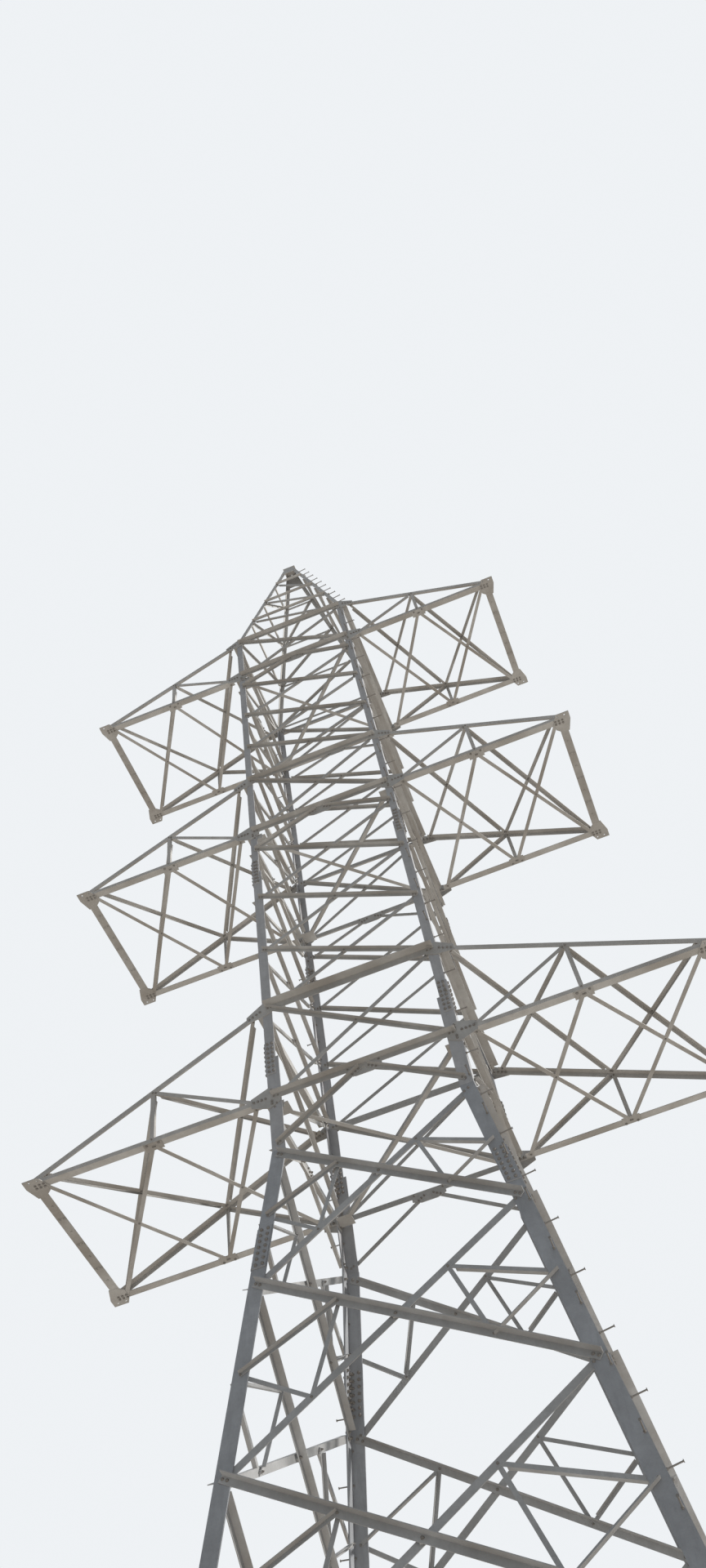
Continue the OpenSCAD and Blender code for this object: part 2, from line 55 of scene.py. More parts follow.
# The feet: a thick base plate under each leg, with two cleats for the leg's
# flanges, all hot-dip galvanized. Four threaded anchors stand up through each
# plate and hold it with a washer and two nuts.
class Wire:
    """One output of a node, for use in ordinary expressions."""

    def __init__(self, tree, socket=None):
        self.tree = tree
        self.socket = socket

    def node(self, kind, settings=None, inputs=None, out=0):
        """Makes a node, sets it, then sets or links its inputs."""
        made = self.tree.nodes.new(kind)
        for name, value in (settings or {}).items():
            setattr(made, name, value)
        for name, value in (inputs or {}).items():
            for one in value if isinstance(value, list) else [value]:
                if isinstance(one, Wire):
                    self.tree.links.new(one.socket, made.inputs[name])
                else:
                    made.inputs[name].default_value = one
        return Wire(self.tree, made.outputs[out]) if made.outputs else None

    def also(self, out):
        """Another output of the same node."""
        return Wire(self.tree, self.socket.node.outputs[out])

    def maths(self, operation, first, second=0.0):
        return self.node("ShaderNodeMath", {"operation": operation}, {0: first, 1: second})

    def __add__(self, other):
        return self.maths("ADD", self, other)

    def __radd__(self, other):
        return self.maths("ADD", other, self)

    def __sub__(self, other):
        return self.maths("SUBTRACT", self, other)

    def __rsub__(self, other):
        return self.maths("SUBTRACT", other, self)

    def __mul__(self, other):
        return self.maths("MULTIPLY", self, other)

    def __rmul__(self, other):
        return self.maths("MULTIPLY", other, self)

    def __truediv__(self, other):
        return self.maths("DIVIDE", self, other)

    def __rtruediv__(self, other):
        return self.maths("DIVIDE", other, self)

    def __gt__(self, other):
        return self.maths("GREATER_THAN", self, other)

    def __abs__(self):
        return self.maths("ABSOLUTE", self)

    def between(self, low, high):
        """0 at low and 1 at high, and evenly between them."""
        return self.node("ShaderNodeMapRange", {}, {
            "Value": self, "From Min": low, "From Max": high})

    def noise(self, place, scale, detail):
        return self.node("ShaderNodeTexNoise", {}, {
            "Vector": place, "Scale": scale, "Detail": detail, "Roughness": 0.6})

    def blend(self, under, over):
        """Colour under where this wire is 0, and colour over where it is 1."""
        return self.node("ShaderNodeMix", {"data_type": "RGBA"}, {
            0: self, 6: under, 7: over}, out=2)


def galvanized(name, zinc, grime_and_shade, soil_and_shade, runs, seed):
    """Weathered zinc: a cloudy patina with a fine spangle, pale bloom, rain runs
    down the upright faces, brown grime in patches, and painted brown shade on the undersides."""
    shift = (seed, seed * 2.7, seed * 5.3)
    drawn_down = (16, 16, 1.1)
    rust_brown = (0.20, 0.105, 0.055, 1)
    material = bpy.data.materials.new(name)
    material.use_nodes = True
    material.node_tree.nodes.clear()
    start = Wire(material.node_tree)

    def tone(level):
        return tuple(level * part for part in zinc) + (1,)

    where = start.node("ShaderNodeTexCoord", out="Object")
    where = start.node("ShaderNodeVectorMath", {"operation": "ADD"}, {0: where, 1: shift})
    tall = start.node("ShaderNodeVectorMath", {"operation": "MULTIPLY"}, {
        0: where, 1: drawn_down})
    normal = start.node("ShaderNodeNewGeometry", out="Normal")
    facing = start.node("ShaderNodeSeparateXYZ", {}, {0: normal}, out="Z")
    clouds = start.noise(where, scale=1.1, detail=4)
    mottle = start.noise(where, scale=9, detail=4)
    grain = start.noise(where, scale=150, detail=3)
    streaks = start.noise(tall, scale=1, detail=4)
    cells = start.node("ShaderNodeTexVoronoi", {}, {"Vector": where, "Scale": 62}, out="Color")
    crystal = start.node("ShaderNodeSeparateColor", {}, {0: cells})
    # Painted shade: faces that look down get a darker brown, standing in for the shade and warm
    # ground light under the members.
    under = (0 - facing).between(0.1, 0.9)
    upright = 1 - abs(facing).between(0.3, 0.7)

    colour = clouds.between(0.32, 0.68).blend(tone(0.86), tone(1.10))
    colour = (mottle.between(0.40, 0.75) * 0.4).blend(colour, tone(0.82))
    colour = (crystal * 0.08).blend(colour, tone(1.35))
    bloom = mottle.between(0.52, 0.30) * clouds.between(0.42, 0.62)
    colour = (bloom * 0.25).blend(colour, tone(1.25))
    wet = streaks.between(0.50, 0.74) * upright * runs
    colour = wet.blend(colour, tone(0.66))
    # Brown grime in cloudy patches all over, plus painted shade: the same brown laid much
    # stronger on the undersides.
    dirt_and_shade = (under * 0.5 + 0.08) * clouds.between(0.70, 0.34) * soil_and_shade
    colour = dirt_and_shade.blend(colour, grime_and_shade + (1,))
    rust = grain.between(0.66, 0.76) * mottle.between(0.56, 0.66)
    colour = (rust * 0.3).blend(colour, rust_brown)

    rough = 0.58 - crystal * 0.10 + mottle * 0.16
    relief = grain * 0.3 + mottle * 1.4 + crystal * 0.1
    bump = start.node("ShaderNodeBump", {}, {
        "Strength": 0.2, "Distance": 0.0014, "Height": relief})
    shader = start.node("ShaderNodeBsdfPrincipled", {}, {
        "Base Color": colour, "Roughness": rough, "Metallic": 0.2, "Normal": bump})
    start.node("ShaderNodeOutputMaterial", {}, {"Surface": shader})
    return material


def finish_nodes(material, *beginnings):
    """Gives a finish to every CAD node whose name begins in one of these ways."""
    for name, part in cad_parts.items():
        if name.startswith(beginnings):
            for holder in part.material_slots:
                holder.material = material


foot_steel = galvanized("foot_steel", zinc=(0.40, 0.395, 0.385), grime_and_shade=(0.17, 0.14, 0.11),
                        soil_and_shade=0.8, runs=0.3, seed=3.0)
finish_nodes(foot_steel, "foot_")


def raised(start, part, height):
    lift = start.node("ShaderNodeCombineXYZ", {}, {2: height})
    return start.node("GeometryNodeTransform", {}, {"Geometry": part, "Translation": lift})


def hexagon(start, across, height):
    """A hexagon that stands on z = 0, with its top drawn in as a chamfer."""
    flats_per_radius = 1.732
    chamfer = 0.14
    chamfer_lift = 0.3
    prism = start.node("GeometryNodeMeshCylinder", {}, {
        "Vertices": 6, "Side Segments": 2,
        "Radius": across / flats_per_radius, "Depth": height})
    position = start.node("GeometryNodeInputPosition")
    spot = start.node("ShaderNodeSeparateXYZ", {}, {0: position})
    level = spot.also("Z")
    quarter = height * 0.25
    top_ring = level > quarter
    middle_ring = 1 - (abs(level) > quarter)
    draw_in = 1 - top_ring * chamfer
    moved = start.node("ShaderNodeCombineXYZ", {}, {
        0: spot * draw_in, 1: spot.also("Y") * draw_in,
        2: level + middle_ring * height * chamfer_lift})
    shaped = start.node("GeometryNodeSetPosition", {}, {"Geometry": prism, "Position": moved})
    return raised(start, shaped, height / 2)


def disc(start, sides, radius, thick, low):
    """A plain round with its lower face at height low."""
    made = start.node("GeometryNodeMeshCylinder", {}, {
        "Vertices": sides, "Radius": radius, "Depth": thick})
    return raised(start, made, low + thick / 2)


def turned_over(start, part):
    return start.node("GeometryNodeTransform", {}, {
        "Geometry": part, "Rotation": (math.pi, 0, 0)})


def joined(start, parts):
    return start.node("GeometryNodeJoinGeometry", {}, {0: parts})


def new_tree(name, sizes):
    """A tree with inputs for its spots, its sizes and its finish. Gives the
    wire of the spots, and one for each size."""
    tree = bpy.data.node_groups.new(name, "GeometryNodeTree")
    ports = tree.interface
    ports.new_socket("Spots", in_out="INPUT", socket_type="NodeSocketGeometry")
    for size in sizes:
        ports.new_socket(size, in_out="INPUT", socket_type="NodeSocketFloat")
    ports.new_socket("Finish", in_out="INPUT", socket_type="NodeSocketMaterial")
    ports.new_socket("Hardware", in_out="OUTPUT", socket_type="NodeSocketGeometry")
    start = Wire(tree).node("NodeGroupInput")
    return start, [start.also(size) for size in sizes]


def fastened(start, near, far=None):
    """Sets the near end of a fastener on every spot and its far end a grip
    away, each turned about its axis by an angle of its own. Gives the tree."""
    axis = start.node("GeometryNodeInputNamedAttribute", {"data_type": "FLOAT_VECTOR"}, {
        "Name": "axis"})
    grip = start.node("GeometryNodeInputNamedAttribute", {"data_type": "FLOAT"}, {
        "Name": "grip"})
    aligned = start.node("FunctionNodeAlignRotationToVector", {"axis": "Z"}, {"Vector": axis})
    angle = start.node("FunctionNodeRandomValue", {"data_type": "FLOAT"}, {
        "Max": math.pi / 3, "Seed": 11}, out=1)
    spin = start.node("FunctionNodeAxisAngleToRotation", {}, {
        "Axis": (0, 0, 1), "Angle": angle})
    turn = start.node("FunctionNodeRotateRotation", {"rotation_space": "LOCAL"}, {
        0: aligned, 1: spin})
    placed = [start.node("GeometryNodeInstanceOnPoints", {}, {
        "Points": start, "Instance": near, "Rotation": turn})]
    if far:
        shift = start.node("ShaderNodeVectorMath", {"operation": "SCALE"}, {
            0: axis, "Scale": 0 - grip})
        behind = start.node("GeometryNodeSetPosition", {}, {
            "Geometry": start, "Offset": shift})
        placed.append(start.node("GeometryNodeInstanceOnPoints", {}, {
            "Points": behind, "Instance": far, "Rotation": turn}))
    real = start.node("GeometryNodeRealizeInstances", {}, {0: joined(start, placed)})
    dressed = start.node("GeometryNodeSetMaterial", {}, {
        "Geometry": real, "Material": start.also("Finish")})
    start.node("NodeGroupOutput", {}, {0: dressed})
    return start.tree


def hardware(name, tree, spots, sizes, finish):
    """Runs a fastener tree over spots of (place, axis, grip) and keeps the mesh."""
    mesh = bpy.data.meshes.new(name + "_spots")
    mesh.from_pydata([place for place, axis, grip in spots], [], [])
    axes = mesh.attributes.new("axis", "FLOAT_VECTOR", "POINT")
    axes.data.foreach_set("vector", [part for place, axis, grip in spots for part in axis])
    grips = mesh.attributes.new("grip", "FLOAT", "POINT")
    grips.data.foreach_set("value", [grip for place, axis, grip in spots])
    piece = bpy.data.objects.new(name, mesh)
    bpy.context.collection.objects.link(piece)
    modifier = piece.modifiers.new("hardware", "NODES")
    modifier.node_group = tree
    sockets = {item.name: item.identifier for item in tree.interface.items_tree}
    for size, value in sizes.items():
        modifier[sockets[size]] = value
    modifier[sockets["Finish"]] = finish
    ready = piece.evaluated_get(bpy.context.evaluated_depsgraph_get())
    made = bpy.data.meshes.new_from_object(ready)
    piece.modifiers.remove(modifier)
    piece.data = made
    bpy.data.meshes.remove(mesh)
    for extra in ("axis", "grip"):
        if extra in made.attributes:
            made.attributes.remove(made.attributes[extra])
    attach(piece, "root")


anchor_washer = 0.006
lock_nut_lift = 0.007
lock_nut_share = 0.6
rod_below = 0.028
start, (across, nut, washer, rod, stand) = new_tree(
    "anchors", ["Across", "Nut", "Washer", "Rod", "Stand"])
anchor_tree = fastened(start, joined(start, [
    disc(start, 20, washer, anchor_washer, 0.0),
    raised(start, hexagon(start, across, nut), anchor_washer),
    raised(start, hexagon(start, across, nut * lock_nut_share), nut + lock_nut_lift),
    disc(start, 16, rod, stand + rod_below, -rod_below)]))

base_width = 6.880
base_plate = 0.030
plate_in = 0.085
anchor_pitch = 0.420
plate_off = base_width / 2 - plate_in
anchor_off = anchor_pitch / 2
anchor_spots = [
    (Vector((plate_off * right + anchor_off * x, plate_off * back + anchor_off * y, base_plate)),
     (0, 0, 1), 0)
    for right in (-1, 1) for back in (-1, 1) for x in (-1, 1) for y in (-1, 1)]
bolt_steel = galvanized("bolt_steel", zinc=(0.21, 0.20, 0.19), grime_and_shade=(0.15, 0.115, 0.085),
                        soil_and_shade=0.7, runs=0.0, seed=8.0)
hardware("anchors", anchor_tree, anchor_spots, {
    "Across": 0.055, "Nut": 0.030, "Washer": 0.040, "Rod": 0.018, "Stand": 0.095},
    bolt_steel)


# The lower legs: one heavy galvanized angle at each corner, leaning in to the
# waist. Cleats hold them to the feet, and cover plates splice them under the
# waist, all with two columns of bolts on each flange.
class Section:
    """A leaning part of the body. Each face has its own frame: u across,
    height up, and out away from the face."""

    def __init__(self, half_at_datum, datum, lean, flange, gauge):
        self.half_at_datum = half_at_datum
        self.datum = datum
        self.lean = lean
        self.flange = flange
        self.gauge = gauge

    def half(self, height):
        """Half the width over the heels of the legs."""
        return self.half_at_datum - self.lean * (height - self.datum)

    def rise(self, height):
        """The distance up the slope of a face."""
        return (height - self.datum) * math.hypot(1, self.lean)

    def on_leg(self, side, height):
        """The bolting point on the left (-1) or the right (1) leg."""
        return Vector((side * (self.half(height) - self.gauge), self.rise(height)))

    def outward(self, face):
        slant = math.hypot(1, self.lean)
        square = Vector((0, -1 / slant, self.lean / slant))
        return Matrix.Rotation(face * math.pi / 2, 3, "Z") @ square

    def spot(self, face, flat, out):
        """A place on a face: 0 front, 1 right, 2 back, 3 left."""
        slope = Vector((0, self.lean, 1)).normalized()
        middle = Vector((0, -self.half_at_datum, self.datum))
        place = middle + Vector((flat[0], 0, 0)) + slope * flat[1]
        return Matrix.Rotation(face * math.pi / 2, 3, "Z") @ place + self.outward(face) * out

    def bolt(self, face, flat, top, bottom):
        """A spot for a bolt whose head sits at top and whose nut at bottom."""
        return (self.spot(face, flat, top), self.outward(face), top - bottom)


clear = 0.0003
waist = 14.270
waist_width = 2.680
waist_splice = 12.360
splice_length = 0.620
splice_plate = 0.012
splice_edge = 0.045
splice_rows = 7
low = Section(half_at_datum=waist_width / 2, datum=waist,
              lean=(base_width - waist_width) / 2 / waist, flange=0.020, gauge=0.095)


def flange_bolts(section, columns, top, bottom):
    """Bolts on both flanges of all four legs. Each column is its distance
    from the heel and the heights of its bolts."""
    return [section.bolt(face, (side * (section.half(height) - column), section.rise(height)),
                         top, bottom)
            for face in range(4) for side in (-1, 1)
            for column, heights in columns for height in heights]


def splice_bolts(section, base, columns):
    """Two columns of bolts through the cover plates of a splice."""
    heights = [
        base + splice_edge + row * (splice_length - 2 * splice_edge) / (splice_rows - 1)
        for row in range(splice_rows)]
    return flange_bolts(section, [(column, heights) for column in columns],
                        splice_plate, -section.flange)


bolt_washer = 0.003
thread_lift = 0.002
across_per_thread = 3.05
start, (across, head, washer, nut, thread) = new_tree(
    "hex_bolts", ["Across", "Head", "Washer", "Nut", "Thread"])
head_end = joined(start, [
    disc(start, 12, washer, bolt_washer, 0.0),
    raised(start, hexagon(start, across, head), bolt_washer)])
nut_end = joined(start, [
    disc(start, 12, washer, bolt_washer, 0.0),
    raised(start, hexagon(start, across, nut), bolt_washer),
    disc(start, 8, across / across_per_thread, thread, nut + thread_lift)])
bolt_tree = fastened(start, head_end, turned_over(start, nut_end))

m24 = {"Across": 0.036, "Head": 0.015, "Washer": 0.022, "Nut": 0.021, "Thread": 0.012}
m20 = {"Across": 0.030, "Head": 0.0125, "Washer": 0.0185, "Nut": 0.018, "Thread": 0.010}
m16 = {"Across": 0.024, "Head": 0.010, "Washer": 0.015, "Nut": 0.0145, "Thread": 0.009}

cleat_plate = 0.016
cleat_columns = ((0.070, (0.085, 0.160, 0.235, 0.310)), (0.145, (0.085, 0.160, 0.235)))
leg_spots = splice_bolts(low, waist_splice, (0.052, 0.135))
leg_spots += flange_bolts(low, cleat_columns, 0.0, -low.flange - clear - cleat_plate)
hardware("lower_leg_bolts", bolt_tree, leg_spots, m24, bolt_steel)
low_leg_steel = galvanized("low_leg_steel", zinc=(0.335, 0.35, 0.375),
                           grime_and_shade=(0.22, 0.185, 0.15), soil_and_shade=0.6, runs=0.45, seed=1.0)
finish_nodes(low_leg_steel, "lower_leg")


# The lower bracing: in each face four crossed panels of galvanized angles,
# short steadying bars, a belt and an inverted V. Falling bars lie outside the
# legs, rising bars behind them, and a bolted plate joins the V to the belt.
def meeting(p, q, r, w):
    """The point where the line from p to q crosses the line from r to w."""
    d, e = q - p, w - r
    share = ((r.x - p.x) * e.y - (r.y - p.y) * e.x) / (d.x * e.y - d.y * e.x)
    return p + d * share


def towards(p, q, far):
    """The point that lies this far along the way from p to q."""
    return p + (q - p).normalized() * far


knee_plate = 0.008


def head_plate(section, face, middle, outline, back):
    """The plate at the head of an inverted V, behind the belt."""
    corners = [section.spot(face, middle + Vector(corner), back) for corner in outline]
    return corners, section.outward(face) * knee_plate


def plates(name, shapes, finish):
    """Flat plates, each given by its corners in order and its thickness as a
    vector."""
    points, sides = [], []
    for corners, through in shapes:
        first, count = len(points), len(corners)
        points += list(corners) + [corner + through for corner in corners]
        sides += [[first + k for k in reversed(range(count))],
                  [first + count + k for k in range(count)]]
        for k in range(count):
            other = (k + 1) % count
            sides.append([first + k, first + other, first + count + other, first + count + k])
    mesh = bpy.data.meshes.new(name)
    mesh.from_pydata(points, [], sides)
    mesh.materials.append(finish)
    piece = bpy.data.objects.new(name, mesh)
    bpy.context.collection.objects.link(piece)
    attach(piece, "root")


# Levels of the panels' nodes from the waist down, and of the V's feet.
waist_gap = 0.090
belt_gap = 0.090
levels = [waist - waist_gap, 12.120, 9.730, 6.930, 3.700]
foot_node = 0.700
stay_share = 0.27

# Distances out from the face to the bars' outer and inner surfaces. Each
# kind of bar has a seat of its own, so that no two share a plane.
low_bar = 0.009
low_stay = 0.006
behind_low_leg = -low.flange - clear
diagonal_seat = clear + 0.0015
stay_seat = clear + 0.0033
knee_seat = clear + 0.0048
falling_top = diagonal_seat + low_bar
rising_back = behind_low_leg - low_bar
low_belt_top = clear + low_bar
low_knee_top = knee_seat + low_bar
low_plate_back = clear - knee_plate
stay_top = stay_seat + low_stay
stay_back_at_leg = behind_low_leg - 0.001 - low_stay
stay_back_at_bar = behind_low_leg - 0.0022 - low_stay
stay_back_at_knee = 0.0025

# Distances of bolts from a joint's node, and the plate's outline.
low_second = 0.060
low_rising_end = 0.074
low_knee_second = 0.066
low_knee_bolts = (0.115, 0.180, 0.245)
low_belt_bolts = (0.110, 0.190)
low_plate_outline = ((-0.10, -0.24), (0.10, -0.24), (0.24, -0.09),
                     (0.24, 0.03), (-0.24, 0.03), (-0.24, -0.09))

low_spots, stay_spots, low_shapes = [], [], []
for face in range(4):
    for high, deep in zip(levels, levels[1:]):
        at_waist, at_belt = high == levels[0], deep == levels[-1]
        high_left, high_right = low.on_leg(-1, high), low.on_leg(1, high)
        deep_left, deep_right = low.on_leg(-1, deep), low.on_leg(1, deep)
        crossing = meeting(high_left, deep_right, deep_left, high_right)
        low_spots += [
            low.bolt(face, high_left, falling_top, -low.flange if at_waist else rising_back),
            low.bolt(face, towards(high_left, deep_right, low_second), falling_top, -low.flange),
            low.bolt(face, deep_right, falling_top, -low.flange if at_belt else rising_back),
            low.bolt(face, towards(deep_right, high_left, low_second), falling_top, -low.flange),
            low.bolt(face, towards(deep_left, high_right, low_rising_end), 0.0, rising_back),
            low.bolt(face, towards(high_right, deep_left, low_rising_end), 0.0, rising_back),
            low.bolt(face, crossing, falling_top, rising_back)]
        if at_waist:
            low_spots.append(low.bolt(face, high_right, 0.0, rising_back))
        if at_belt:
            low_spots.append(low.bolt(face, deep_left, 0.0, rising_back))
        for side, falling, rising in ((-1, (high_left, deep_right), (deep_left, high_right)),
                                      (1, (deep_right, high_left), (high_right, deep_left))):
            at_leg = low.on_leg(side, (high + deep) / 2)
            on_falling = falling[0].lerp(falling[1], stay_share)
            on_rising = rising[0].lerp(rising[1], stay_share)
            stay_spots += [low.bolt(face, at_leg, stay_top, stay_back_at_leg),
                           low.bolt(face, on_falling, falling_top, stay_back_at_bar),
                           low.bolt(face, on_rising, behind_low_leg, rising_back)]
    belt = levels[-1] - belt_gap
    top = Vector((0, low.rise(belt)))
    low_shapes.append(head_plate(low, face, top, low_plate_outline, low_plate_back))
    for side in (-1, 1):
        belt_end = low.on_leg(side, belt)
        belt_second = belt_end - Vector((side * low_second, 0))
        foot_end = low.on_leg(side, foot_node)
        foot_second = towards(foot_end, top, low_knee_second)
        low_spots += [low.bolt(face, belt_end, low_belt_top, -low.flange),
                      low.bolt(face, belt_second, low_belt_top, -low.flange),
                      low.bolt(face, foot_end, low_knee_top, -low.flange),
                      low.bolt(face, foot_second, low_knee_top, -low.flange)]
        low_spots += [low.bolt(face, towards(top, foot_end, far), low_knee_top, low_plate_back)
                      for far in low_knee_bolts]
        low_spots += [low.bolt(face, top + Vector((side * off, 0)), low_belt_top, low_plate_back)
                      for off in low_belt_bolts]
        at_leg = low.on_leg(side, (levels[-1] + foot_node) / 2)
        on_knee = top.lerp(foot_end, 0.5)
        on_belt = Vector((side * low.half(levels[-1]) / 2, top.y))
        stay_spots += [low.bolt(face, at_leg, stay_top, -low.flange),
                       low.bolt(face, on_knee, low_knee_top, stay_back_at_knee),
                       low.bolt(face, on_belt, low_belt_top, clear)]
low_brace_steel = galvanized("low_brace_steel", zinc=(0.37, 0.375, 0.38),
                             grime_and_shade=(0.22, 0.185, 0.15), soil_and_shade=0.75, runs=0.25, seed=2.0)
finish_nodes(low_brace_steel, "lower_bracing")
hardware("lower_bracing_bolts", bolt_tree, low_spots, m20, bolt_steel)
hardware("lower_stay_bolts", bolt_tree, stay_spots, m16, bolt_steel)
plates("lower_knee_plates", low_shapes, low_brace_steel)


# The upper legs: three sizes of galvanized angle from the waist to the
# shoulder, joined by bolted cover plates above the lower arm and again in
# the bay under the middle arm.
shoulder = 28.470
shoulder_width = 2.336
lower_splice = 15.630
upper_splice = 19.950
up = Section(half_at_datum=waist_width / 2, datum=waist,
             lean=(waist_width - shoulder_width) / 2 / (shoulder - waist),
             flange=0.016, gauge=0.085)
splice_spots = splice_bolts(up, lower_splice, (0.042, 0.104))
splice_spots += splice_bolts(up, upper_splice, (0.036, 0.082))
hardware("upper_splice_bolts", bolt_tree, splice_spots, m24, bolt_steel)
up_leg_steel = galvanized("up_leg_steel", zinc=(0.36, 0.365, 0.38),
                          grime_and_shade=(0.22, 0.185, 0.145), soil_and_shade=0.6, runs=0.4, seed=5.0)
finish_nodes(up_leg_steel, "upper_leg")


# The upper bracing: crossed panels of light galvanized angles, level belts at
# every arm chord, inverted V bars on plates under each arm, and on the front
# and the back the gussets that carry the arms by a row of bolts to each chord.
Arm = namedtuple("Arm", "level root reach knee")
arms = [Arm(level=15.200, root=1.730, reach=4.720, knee=waist + 0.090),
        Arm(level=21.400, root=1.590, reach=4.275, knee=20.870),
        Arm(level=27.000, root=1.470, reach=4.095, knee=26.530)]
shoulder_drop = 0.045
bays = 3

# Distances out from the face to the bars' and the plates' surfaces.
up_bar = 0.006
up_belt = 0.008
up_falling_top = diagonal_seat + up_bar
up_rising_back = -up.flange - clear - up_bar
belt_seat = clear + 0.0034
belt_top = belt_seat + up_belt
up_knee_top = knee_seat + up_bar
up_plate_back = belt_seat - knee_plate
gusset = clear + 0.010
chord_plate = 0.010
tie_back = 0.009

# The chords' heights, and the sloping chord's upper edge above the arm's
# level at its tip.
chord_height = 0.070
tie_width = 0.080
tie_end = tie_width * 1.2 - chord_height / 2

# Distances of bolts from a joint's node, and the plate's outline.
up_second = 0.046
up_rising_end = 0.056
belt_second_off = 0.052
up_knee_bolts = (0.085, 0.140, 0.195)
up_belt_bolt = 0.215
up_plate_outline = ((-0.12, -0.15), (0.12, -0.15), (0.25, -0.10),
                    (0.25, 0.025), (-0.25, 0.025), (-0.25, -0.10))
gusset_row = (0.035, 0.090, 0.145, 0.200)
gusset_chord_lift = 0.002
gusset_tie_drop = 0.006
gusset_leg_rows = (-0.120, -0.075, 0.075, 0.125)
gusset_leg_column = 0.050


def tie_slope(arm):
    """How much an arm's sloping chord falls for each metre that it runs out."""
    run = arm.reach - up.half(arm.level + arm.root)
    return (arm.root + tie_width / 2 - tie_end) / run


def crossed_bolts(face, deep, high, belt_deep, belt_high):
    """Joints of one crossed panel. A belt lies over the nodes at its level."""
    high_left, high_right = up.on_leg(-1, high), up.on_leg(1, high)
    deep_left, deep_right = up.on_leg(-1, deep), up.on_leg(1, deep)
    crossing = meeting(high_left, deep_right, deep_left, high_right)
    spots = [up.bolt(face, crossing, up_falling_top, up_rising_back)]
    for belted, falling, rising in (
            (belt_high, (high_left, deep_right), (high_right, deep_left)),
            (belt_deep, (deep_right, high_left), (deep_left, high_right))):
        if not belted:
            spots += [
                up.bolt(face, falling[0], up_falling_top, up_rising_back),
                up.bolt(face, towards(*falling, up_second), up_falling_top, -up.flange),
                up.bolt(face, towards(*rising, up_rising_end), 0.0, up_rising_back)]
    return spots


up_spots, gusset_spots, up_shapes = [], [], []
for face in range(4):
    for arm, next_arm in zip(arms, arms[1:] + [None]):
        tie_level = arm.level + arm.root
        tie_belt = tie_level - (0 if next_arm else shoulder_drop)
        up_spots += crossed_bolts(face, arm.level, tie_belt, True, True)
        middle = Vector((0, up.rise(arm.level)))
        up_shapes.append(head_plate(up, face, middle, up_plate_outline, up_plate_back))
        for side in (-1, 1):
            for height in (arm.level, tie_belt):
                belt_end = up.on_leg(side, height)
                belt_second = belt_end - Vector((side * belt_second_off, 0))
                up_spots += [up.bolt(face, belt_end, belt_top, up_rising_back),
                             up.bolt(face, belt_second, belt_top, up_rising_back)]
            foot_end = up.on_leg(side, arm.knee)
            foot_second = towards(foot_end, middle, up_second)
            up_spots += [up.bolt(face, foot_end, up_knee_top, -up.flange),
                         up.bolt(face, foot_second, up_knee_top, -up.flange)]
            up_spots += [
                up.bolt(face, towards(middle, foot_end, far), up_knee_top, up_plate_back)
                for far in up_knee_bolts]
            on_belt = middle + Vector((side * up_belt_bolt, 0))
            up_spots.append(up.bolt(face, on_belt, belt_top, up_plate_back))
        if next_arm:
            step = (next_arm.knee - tie_level) / bays
            for n in range(bays):
                up_spots += crossed_bolts(face, tie_level + n * step,
                                          tie_level + (n + 1) * step, n == 0, False)
        if face % 2 == 0:
            for side in (-1, 1):
                for along in gusset_row:
                    on_chord = (side * (up.half(arm.level) + along),
                                up.rise(arm.level) + gusset_chord_lift)
                    on_tie = (side * (up.half(tie_level) + along),
                              up.rise(tie_level) - gusset_tie_drop - along * tie_slope(arm))
                    gusset_spots += [up.bolt(face, on_chord, gusset, -chord_plate),
                                     up.bolt(face, on_tie, gusset, -tie_back)]
                for row in gusset_leg_rows:
                    height = arm.level + row
                    on_leg = (side * (up.half(height) - gusset_leg_column), up.rise(height))
                    gusset_spots.append(up.bolt(face, on_leg, gusset, -up.flange))
up_brace_steel = galvanized("up_brace_steel", zinc=(0.39, 0.385, 0.375),
                            grime_and_shade=(0.21, 0.175, 0.14), soil_and_shade=0.8, runs=0.2, seed=6.0)
finish_nodes(up_brace_steel, "upper_bracing")
hardware("upper_bracing_bolts", bolt_tree, up_spots, m16, bolt_steel)
hardware("arm_gusset_bolts", bolt_tree, gusset_spots, m20, bolt_steel)
plates("upper_knee_plates", up_shapes, up_brace_steel)


# The level crosses inside the body: two flat-lying galvanized angles corner to
# corner at each arm. Their corner plates have cleats, with two bolts each
# through the legs.
cross_drop = 0.130
cross_cleat_drop = 0.215
plan_spots = []
for face in range(4):
    for arm in arms:
        # Under the upper splice the legs are wider, so the bolt is further in.
        second = 0.104 if arm.level > upper_splice else 0.112
        for along, lift in ((0.080, 0.035), (second, 0.090)):
            flat = (along - up.half(arm.level - cross_drop),
                    up.rise(arm.level - cross_cleat_drop) + lift)
            plan_spots.append(up.bolt(face, flat, 0.0, -up.flange - gusset))
hardware("plan_bolts", bolt_tree, plan_spots, m16, bolt_steel)
finish_nodes(up_brace_steel, "plan_bracing")


# The peak: four converging galvanized angles, with belts and falling diagonals
# bolted to them, closed by a top plate that has two holes for a clamp.
cap = 33.590
cap_width = 0.190
peak_bar = 0.005
peak_foot = 0.110
peak_ends = 0.700
peak_belts = 4
peak_diagonal_end = 0.038
peak = Section(half_at_datum=shoulder_width / 2, datum=shoulder,
               lean=(shoulder_width - cap_width) / 2 / (cap - shoulder),
               flange=0.008, gauge=0.045)
peak_back = -peak.flange - clear - peak_bar


def peak_level(n):
    """The height of the peak's belt number n."""
    return shoulder + peak_foot + (cap - shoulder - peak_ends) * n / (peak_belts - 0.5)


